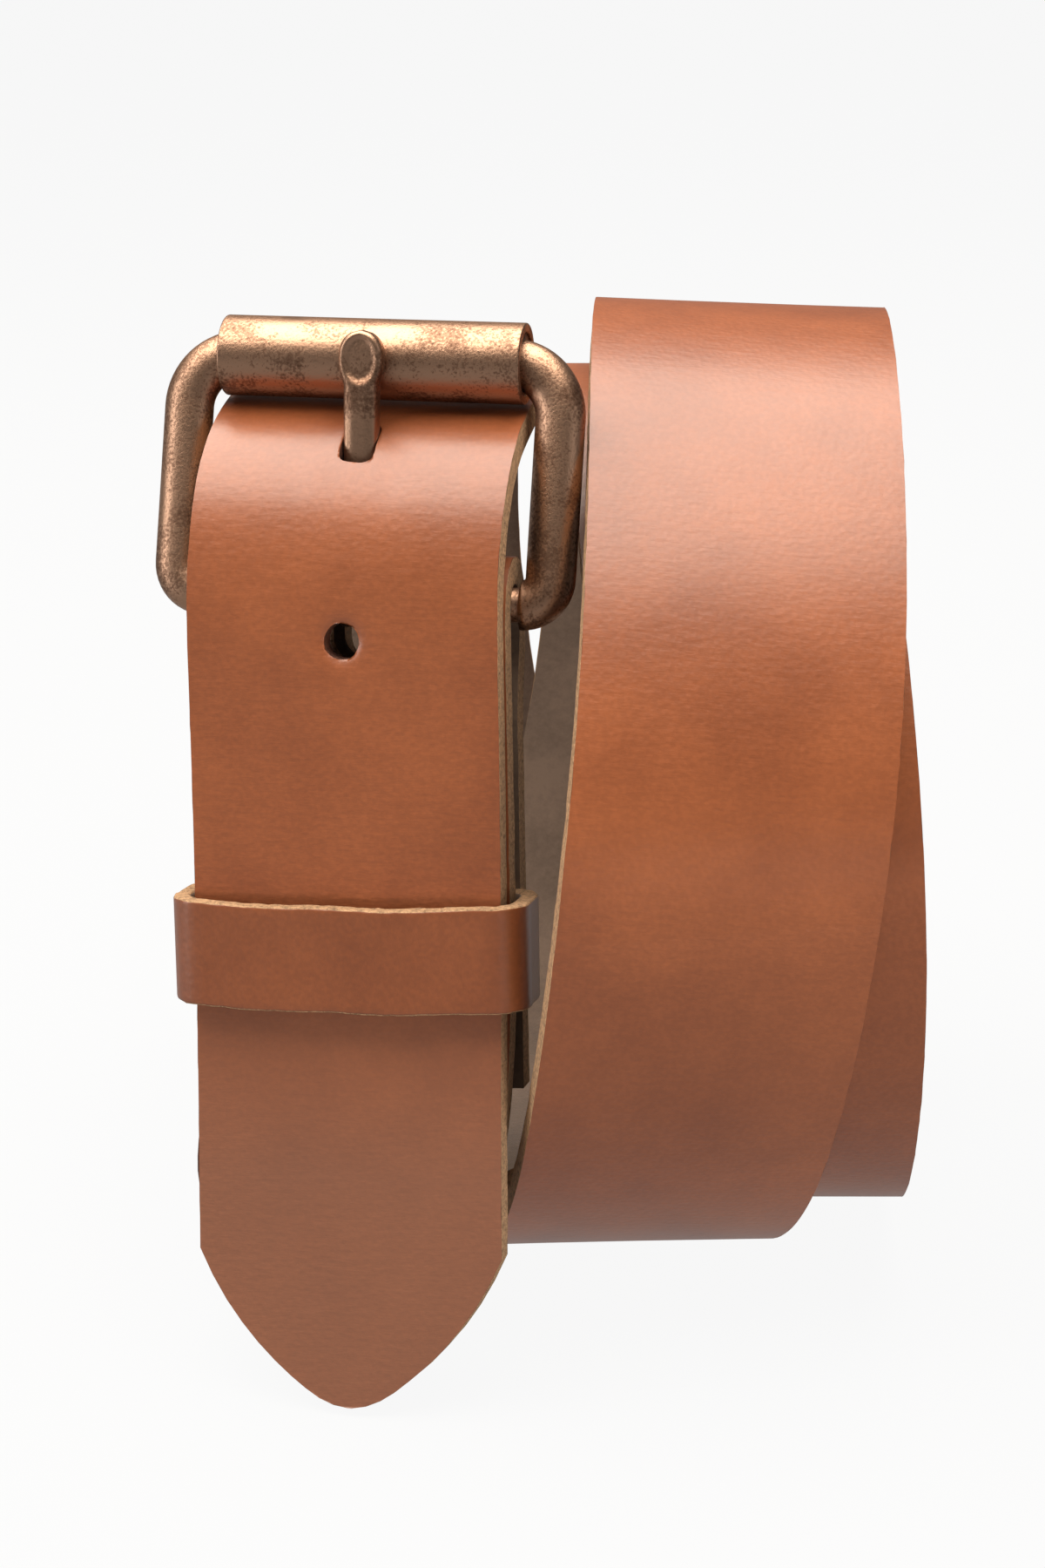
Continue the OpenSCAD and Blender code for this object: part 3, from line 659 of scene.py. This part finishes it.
# ---- Pieces ----
class BELT_OT_strap(bpy.types.Operator):
    """Strap: one length of leather, punched, pointed, coiled and folded round the heel bar"""

    bl_idname = "belt.strap"
    bl_label = "Strap"

    def half_width(self, run):
        """Half of the strap's width at a distance from the tip."""
        strap = bpy.context.scene.belt_strap
        if run >= strap.tip_length:
            return strap.width / 2
        corner = math.radians(strap.tip_corner)
        mid_run = strap.tip_length + strap.tip_side * math.sin(corner)
        mid_x = strap.width / 2 - strap.tip_side * math.cos(corner)
        side = mid_x + math.sqrt(max(0.0, strap.tip_side**2 - (mid_run - run) ** 2))
        nose = math.sqrt(2 * strap.tip_nose * run) if run < strap.tip_nose / 3 else strap.width
        return max(0.25, min(nose, side))

    def execute(self, context):
        strap = context.scene.belt_strap
        buckle = context.scene.belt_buckle
        route = Route()
        bm = leather_sheet(route.length, strap.width, strap.cell)
        prong_run, prong_along, prong_out = route.prong_course()
        # The prong's hole is long and squarish, as the slanting prong and its clearance need
        room = (buckle.prong_t + 2 * strap.slide_gap + strap.prong_room) / abs(prong_out)
        first = prong_run - strap.pitch
        holes = [(first + k * strap.pitch, 0.0) for k in range(strap.holes) if k != 1]
        holes.append((prong_run - strap.prong_room / 2 / prong_out, room - strap.hole))
        for run, stretch in holes:
            punch(bm, run, strap.hole / 2, stretch, 3.0 if stretch else 2.0)
        # Slot over the fold, for the prong's eye
        slot_room, slot_z = 1.8, -5
        slot_r = (buckle.prong_w + slot_room) / 2
        ends = route.ply_run(route.inner_y, slot_z), route.ply_run(route.fold_y, slot_z)
        punch(bm, sum(ends) / 2, slot_r, abs(ends[1] - ends[0]))
        # The point: rows near the nose move together, and every row narrows to the outline
        crowding = 1.8
        for v in bm.verts:
            if v.co.y < strap.tip_length:
                v.co.y = strap.tip_length * (v.co.y / strap.tip_length) ** crowding
                v.co.x *= self.half_width(v.co.y) / (strap.width / 2)
        thicken(bm, strap.thickness, strap.edge_round, rough=0.09)
        keep_flat_place(bm)
        for f in bm.faces:
            spot = f.calc_center_median()
            # Walls of the holes take the painted-shade material
            if f.material_index == 2 and abs(spot.x) < strap.hole:
                if any(abs(spot.y - run) < strap.hole + stretch / 2 for run, stretch in holes):
                    f.material_index = 3
        # The punch leaves a pressed rim round each free hole, and the prong's hole leans with the prong
        affected, lean_reach, rim_depth, rim_reach = 4, 2.5, 0.5, 0.7
        for v in bm.verts:
            for run, stretch in holes:
                off = max(0.0, abs(v.co.y - run) - stretch / 2)
                away = max(0.0, math.hypot(v.co.x, off) - strap.hole / 2)
                if away > affected:
                    continue
                if stretch:
                    v.co.y += v.co.z * prong_along / prong_out * max(0.0, 1 - away / lean_reach)
                elif v.co.z > 0:
                    v.co.z -= rim_depth * math.exp(-away / rim_reach)
        for v in bm.verts:
            v.co = route.place(v.co)
        piece = finished("Belt_strap", bm, leather_set())
        soften(piece)
        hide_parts(*[name for name in frame["nodes"] if name.startswith("strap_")])
        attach(piece, "strap")
        return {"FINISHED"}


class BELT_OT_frame(bpy.types.Operator):
    """Buckle frame: a bent bar with pressed faces, its heel bar and the journal inside the roller"""

    bl_idname = "belt.frame"
    bl_label = "Buckle frame"

    def execute(self, context):
        buckle = context.scene.belt_buckle
        strap = context.scene.belt_strap
        half = (strap.width + buckle.room) / 2
        bar_x = half + buckle.bar / 2
        bend = buckle.corner - buckle.bar / 2
        heel_bend = buckle.bar / 2 + buckle.heel_corner
        # The journal runs free in the roller and stops short of the frame's sides
        journal_gap, journal_inset = 0.08, 1.9
        bm = bmesh.new()
        ring = bmesh.ops.create_circle(bm, cap_ends=False, segments=40, radius=buckle.bar / 2)["verts"]
        for v in ring:
            # Round bar, pressed a little flatter front to back
            v.co.y *= buckle.bar_thick / buckle.bar
            v.co += Vector((bar_x, 0, heel_bend))
        lower = list({e for v in ring for e in v.link_edges})
        # Down round the heel corner
        bmesh.ops.spin(
            bm,
            geom=bmesh.ops.duplicate(bm, geom=lower + ring)["geom"],
            cent=(bar_x - heel_bend, 0, heel_bend),
            axis=(0, 1, 0),
            angle=math.radians(90),
            steps=12,
        )
        # Up the side, then round the corner to the roller
        made_up = bmesh.ops.extrude_edge_only(bm, edges=lower)["geom"]
        raised = verts_of(made_up)
        bmesh.ops.translate(bm, vec=(0, 0, buckle.reach - bend - heel_bend), verts=raised)
        upper = edges_between(made_up, raised)
        bmesh.ops.spin(
            bm,
            geom=raised + upper,
            cent=(bar_x - bend, 0, buckle.reach - bend),
            axis=(0, 1, 0),
            angle=math.radians(-90),
            steps=16,
        )
        bmesh.ops.remove_doubles(bm, verts=bm.verts, dist=0.001)
        bmesh.ops.holes_fill(bm, edges=[e for e in bm.edges if e.is_boundary], sides=0)
        bmesh.ops.mirror(bm, geom=bm.verts[:] + bm.edges[:] + bm.faces[:], axis="X", merge_dist=0.0)
        across = Matrix.Rotation(math.radians(90), 4, "Y")
        for z, radius, reach in (
            (0, buckle.heel / 2, bar_x - heel_bend),
            (buckle.reach, buckle.roller / 2 - buckle.wall - journal_gap, half - journal_inset),
        ):
            bmesh.ops.create_cone(
                bm,
                cap_ends=True,
                segments=32,
                radius1=radius,
                radius2=radius,
                depth=2 * reach,
                matrix=Matrix.Translation((0, 0, z)) @ across,
            )
        bmesh.ops.recalc_face_normals(bm, faces=bm.faces)
        bmesh.ops.transform(bm, matrix=frame_matrix(), verts=bm.verts)
        piece = finished("Buckle_frame_bar", bm, [copper()])
        soften(piece)
        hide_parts("buckle_frame")
        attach(piece, "frame")
        return {"FINISHED"}


class BELT_OT_roller(bpy.types.Operator):
    """Roller: a sheet rolled into a tube, with its open seam low at the back"""

    bl_idname = "belt.roller"
    bl_label = "Roller"

    def execute(self, context):
        buckle = context.scene.belt_buckle
        play, seam, edge_round = 0.6, 0.8, 0.22
        half = (context.scene.belt_strap.width - play) / 2
        radius = buckle.roller / 2
        bm = bmesh.new()
        ends = bmesh.ops.create_vert(bm, co=(-half, 0, radius))["vert"]
        for step in (0.3, 0.6, half - 0.9, half - 0.9, 0.6, 0.3):
            ends = bmesh.ops.extrude_vert_indiv(bm, verts=ends)["verts"]
            bmesh.ops.translate(bm, vec=(step, 0, 0), verts=ends)
        gap = seam / radius
        # The seam sits at 45 degrees below the back
        start = math.radians(-135) + gap / 2
        bmesh.ops.rotate(bm, cent=(0, 0, 0), matrix=Matrix.Rotation(start, 3, "X"), verts=bm.verts)
        bmesh.ops.spin(
            bm,
            geom=bm.verts[:] + bm.edges[:],
            cent=(0, 0, 0),
            axis=(1, 0, 0),
            angle=2 * math.pi - gap,
            steps=72,
        )
        bmesh.ops.remove_doubles(bm, verts=bm.verts, dist=0.001)
        bmesh.ops.recalc_face_normals(bm, faces=bm.faces)
        face = max(bm.faces, key=lambda f: f.calc_center_median().z)
        if face.normal.z < 0:
            bmesh.ops.reverse_faces(bm, faces=bm.faces)
        give_wall(bm, buckle.wall, edge_round)
        lift = Matrix.Translation((0, 0, buckle.reach))
        bmesh.ops.transform(bm, matrix=frame_matrix() @ lift, verts=bm.verts)
        piece = finished("Roller_tube", bm, [copper()])
        soften(piece)
        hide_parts("roller")
        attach(piece, "roller")
        return {"FINISHED"}


class BELT_OT_prong(bpy.types.Operator):
    """Prong: an eye round the heel bar, a shaft with flattened sides and a stamped paddle"""

    bl_idname = "belt.prong"
    bl_label = "Prong"

    def execute(self, context):
        buckle = context.scene.belt_buckle
        route = Route()
        heel_r = buckle.heel / 2
        eye_r = heel_r + 1.6
        # The shaft starts inside the eye's wall
        start, steps = heel_r + 0.5, 90
        top = route.prong_l
        bm = bmesh.new()
        ring = bmesh.ops.create_circle(bm, cap_ends=True, segments=48, radius=1.0)["verts"]
        bmesh.ops.translate(bm, vec=(0, 0, start), verts=ring)
        cap = list(bm.faces)
        for k in range(1, steps + 1):
            grown = bmesh.ops.extrude_face_region(bm, geom=cap)["geom"]
            if k > 1:
                bmesh.ops.delete(bm, geom=cap, context="FACES_ONLY")
            cap = [g for g in grown if isinstance(g, bmesh.types.BMFace)]
            bmesh.ops.translate(bm, vec=(0, 0, (top - start) / steps), verts=verts_of(grown))
        paddle_mid = top - buckle.paddle_l / 2
        for v in bm.verts:
            self.shape(v, buckle, top, paddle_mid)
        # The eye: a ring of bar bent round the heel bar
        bar = bmesh.ops.create_cube(bm, size=1.0)["verts"]
        bmesh.ops.scale(bm, vec=(buckle.prong_w, 0.01, 1.5), verts=bar)
        bmesh.ops.translate(bm, vec=(0, 0, (heel_r + eye_r) / 2 + 0.05), verts=bar)
        faces = [f for f in {f for v in bar for f in v.link_faces} if f.normal.y > 0.5]
        others = [f for f in {f for v in bar for f in v.link_faces} if f not in faces]
        bmesh.ops.delete(bm, geom=others, context="FACES")
        loop = list({v for f in faces for v in f.verts})
        edges = list({e for f in faces for e in f.edges})
        bmesh.ops.delete(bm, geom=faces, context="FACES_ONLY")
        bmesh.ops.spin(
            bm,
            geom=loop + edges,
            cent=(0, 0, 0),
            axis=(1, 0, 0),
            angle=math.radians(360),
            steps=40,
            use_merge=True,
        )
        bmesh.ops.remove_doubles(bm, verts=bm.verts, dist=0.001)
        bmesh.ops.recalc_face_normals(bm, faces=bm.faces)
        lean = Matrix.Rotation(route.prong_lean, 4, "X")
        bmesh.ops.transform(bm, matrix=placed(buckle_turn()) @ lean, verts=bm.verts)
        piece = finished("Prong_bar", bm, [copper()])
        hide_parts("prong")
        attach(piece, "prong")
        return {"FINISHED"}

    def shape(self, v, buckle, top, paddle_mid):
        """Moves a point of the unit bar to the prong's section at its height."""
        z = v.co.z
        unit = Vector((v.co.x, v.co.y))
        if unit.length == 0:
            return
        # Shaft: a square section with rounded corners, its front filed to three facets
        squareness = 3.4
        bulk = (abs(unit.x) ** squareness + abs(unit.y) ** squareness) ** (1 / squareness)
        half_w, half_t = buckle.prong_w / 2, buckle.prong_t / 2
        # Paddle: round in front view, thinner, widest at its middle
        along = (z - (top - buckle.paddle_l)) / buckle.paddle_l
        if along > 0:
            ease = min(1.0, along / 0.35)
            ease = ease * ease * (3 - 2 * ease)
            half_w += (buckle.paddle_w / 2 - half_w) * ease
            half_t -= 0.3 * ease
        end = (z - (top - buckle.paddle_w / 2)) / (buckle.paddle_w / 2)
        if end > 0:
            cut = math.sqrt(max(0.0, 1 - min(end, 0.999) ** 2))
            half_w *= cut
            half_t *= 0.35 + 0.65 * cut
        x, y = unit.x / bulk * half_w, unit.y / bulk * half_t
        if y < 0:
            fade = 1 - min(1.0, max(0.0, along + 0.15) / 0.3)
            facet = 0.75 * max(0.0, abs(x) / (buckle.prong_w / 2) - 0.38) * fade
            y = max(y, -(half_t - facet))
            # Stamped oval on the paddle's front
            oval = math.hypot(x / (buckle.paddle_w * 0.38), (z - paddle_mid + 0.1) / (buckle.paddle_l * 0.44))
            if oval < 1:
                y += 0.55 * min(1.0, (1 - oval) / 0.16)
        v.co = Vector((x, y - (0.2 if along > 0 else 0.0) * min(1.0, max(0.0, along) / 0.35), z))


class BELT_OT_keeper(bpy.types.Operator):
    """Keeper: a strip of the same leather bent round both plies, its ends joined at the back"""

    bl_idname = "belt.keeper"
    bl_label = "Keeper"

    def execute(self, context):
        buckle = context.scene.belt_buckle
        strap = context.scene.belt_strap
        route = Route()
        half_t = strap.thickness / 2
        mid = buckle.keeper_t / 2
        inner_corner, back_gap, gap = 2.3, 0.35, 0.15
        half_w = (strap.width + buckle.keeper_room) / 2 + mid
        low = route.front_y - half_t - buckle.keeper_slack - mid
        high = route.inner_y + half_t + back_gap + mid
        corner = inner_corner + mid
        # Straight and curved stretches of the loop, from the joint at the back round to it again
        arc = corner * math.pi / 2
        width, depth = half_w - corner, high - low - 2 * corner
        stretches = [width - gap, arc, depth, arc, 2 * width, arc, depth, arc, width - gap]
        length = sum(stretches)

        def place(flat):
            """Puts a point of the flat strip on the loop; the strip's length runs round it."""
            left, here, heading = flat.y, Vector((-gap, high)), math.pi
            for k, stretch in enumerate(stretches):
                step = max(0.0, min(left, stretch)) if k < len(stretches) - 1 else left
                if k % 2 == 0:
                    here = here + Vector((math.cos(heading), math.sin(heading))) * step
                else:
                    turn = step / corner
                    centre = here + Vector((-math.sin(heading), math.cos(heading))) * corner
                    heading += turn
                    here = centre + Vector((math.sin(heading), -math.cos(heading))) * corner
                left -= step
                if left <= 0:
                    break
            out = Vector((math.sin(heading), -math.cos(heading)))
            spot = here + out * flat.z
            return Vector((spot.x, spot.y, -buckle.keeper_drop - flat.x))

        bm = leather_sheet(length, buckle.keeper_w, cell=0.9)
        thicken(bm, buckle.keeper_t, rounding=0.4, rough=0.12)
        keep_flat_place(bm, start=KEEPER_START)
        # The strip's edges waver a little, as hand-cut leather does, and its front crowns out and bows down
        waver, crown, sag = 0.22, 0.7, 0.5
        for v in bm.verts:
            v.co.x += waver * noise.noise(Vector((v.co.y * 0.11, v.co.x * 0.02, 4.0)))
            front = abs(v.co.y - length / 2) / (width + arc / 2)
            if front < 1:
                v.co.z += crown * (1 - front * front)
                v.co.x += sag * (1 - front * front)
            v.co = place(v.co)
        bmesh.ops.transform(bm, matrix=placed(ply_turn()), verts=bm.verts)
        bmesh.ops.recalc_face_normals(bm, faces=bm.faces)
        piece = finished("Keeper_strip", bm, leather_set())
        soften(piece)
        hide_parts("keeper")
        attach(piece, "keeper")
        return {"FINISHED"}


class BELT_OT_fasteners(bpy.types.Operator):
    """Rivets and staples: plated copper and drawn steel on the packed solids"""

    bl_idname = "belt.fasteners"
    bl_label = "Rivets and staples"

    def execute(self, context):
        plating = copper()
        steel = made(drawn_steel, "Drawn steel wire")
        for name, node in frame["nodes"].items():
            material = plating if name.startswith("rivet") else steel if name == "keeper_staple" else None
            if material:
                node.data.materials.clear()
                node.data.materials.append(material)
        return {"FINISHED"}


class BELT_OT_stage(bpy.types.Operator):
    """Stage: a plain pale floor, soft studio light and the camera"""

    bl_idname = "belt.stage"
    bl_label = "Stage"

    def lamp(self, name, place, target, size, power, colour=(1.0, 1.0, 1.0), seen_in_gloss=True):
        """A soft rectangular light aimed at a point."""
        data = bpy.data.lights.new(name, "AREA")
        data.shape = "RECTANGLE"
        data.size, data.size_y = size
        data.energy = power
        data.color = colour
        lamp = bpy.data.objects.new(name, data)
        lamp.location = place
        lamp.visible_glossy = seen_in_gloss
        lamp.rotation_euler = (Vector(target) - Vector(place)).to_track_quat("-Z", "Y").to_euler()
        bpy.context.scene.collection.objects.link(lamp)

    def glow(self, tree, around, to_camera):
        """A strength with one value for the camera and another for all other light."""
        path = add_node(tree, "ShaderNodeLightPath").outputs["Is Camera Ray"]
        share = add_node(tree, "ShaderNodeMapRange", Value=path, i1=0.0, i2=1.0, i3=around, i4=to_camera)
        return share.outputs[0]

    def execute(self, context):
        scene = context.scene
        camera_data = bpy.data.cameras.new("Camera")
        camera_data.sensor_width = 36.0
        camera_data.lens = 65.42
        camera_data.clip_start = 0.01
        camera_data.clip_end = 100.0
        camera = bpy.data.objects.new("Camera", camera_data)
        camera.location = (-0.0051, -0.3865, 0.19245)
        camera.rotation_euler = (math.radians(90 - 18.4), 0, 0)
        scene.collection.objects.link(camera)
        scene.camera = camera
        bm = bmesh.new()
        bmesh.ops.create_grid(bm, x_segments=2, y_segments=2, size=12.0)
        floor_material, tree, shader = new_material("Pale studio floor")
        wire(tree, shader, Base_Color=tone("#2C2C2C"), Roughness=0.9, Specular_IOR_Level=0.0)
        # The floor glows brightly to the eye, and lights the belt from below as pale paper would
        white = tone("#FFFFFF")
        wire(tree, shader, Emission_Color=white, Emission_Strength=self.glow(tree, 0.34, 0.925))
        floor = finished("Floor", bm, [floor_material])
        world = bpy.data.worlds.new("Studio")
        world.use_nodes = True
        sky = world.node_tree
        wire(sky, sky.nodes["Background"], Color=white, Strength=self.glow(sky, 0.12, 0.93))
        scene.world = world
        warm = (1.0, 0.94, 0.85)
        self.lamp("Softbox above", (-0.16, 0.0, 0.92), (0, 0, 0.06), (1.05, 1.15), 24.0, colour=warm)
        self.lamp("Softbox right", (0.85, -0.6, 0.5), (0, 0, 0.07), (0.5, 0.5), 0.6)
        self.lamp("Fill low", (0.5, -0.7, 0.05), (0.03, 0, 0.03), (0.7, 0.1), 4.2, seen_in_gloss=False)
        self.lamp("Strip left", (-0.75, -0.2, 0.3), (0, 0, 0.09), (0.16, 0.8), 2.4)
        scene.view_settings.view_transform = "Standard"
        return {"FINISHED"}


OPERATORS = (
    BELT_OT_stage,
    BELT_OT_strap,
    BELT_OT_frame,
    BELT_OT_roller,
    BELT_OT_prong,
    BELT_OT_keeper,
    BELT_OT_fasteners,
)
SETTINGS = {
    "belt_strap": BeltStrapSettings,
    "belt_coil": BeltCoilSettings,
    "belt_buckle": BeltBuckleSettings,
    "belt_look": BeltLookSettings,
}


class BELT_PT_panel(bpy.types.Panel):
    """Sidebar panel with the belt's sizes, colours and pieces."""

    bl_label = "Leather belt"
    bl_idname = "BELT_PT_panel"
    bl_space_type = "VIEW_3D"
    bl_region_type = "UI"
    bl_category = "Belt"

    def draw(self, context):
        for name, settings in SETTINGS.items():
            box = self.layout.box()
            box.label(text=settings.__doc__)
            for key in settings.__annotations__:
                box.prop(getattr(context.scene, name), key)
        for operator in OPERATORS:
            self.layout.operator(operator.bl_idname)


def register():
    """Adds the settings, operators and panel."""
    for settings in SETTINGS.values():
        bpy.utils.register_class(settings)
    for name, settings in SETTINGS.items():
        setattr(bpy.types.Scene, name, bpy.props.PointerProperty(type=settings))
    for operator in OPERATORS:
        bpy.utils.register_class(operator)
    bpy.utils.register_class(BELT_PT_panel)


def unregister():
    """Removes them again."""
    bpy.utils.unregister_class(BELT_PT_panel)
    for operator in reversed(OPERATORS):
        bpy.utils.unregister_class(operator)
    for name, settings in SETTINGS.items():
        delattr(bpy.types.Scene, name)
        bpy.utils.unregister_class(settings)


def main():
    """Builds the belt piece by piece."""
    register()
    for operator in OPERATORS:
        group, name = operator.bl_idname.split(".")
        getattr(getattr(bpy.ops, group), name)()


if __name__ == "__main__":
    main()
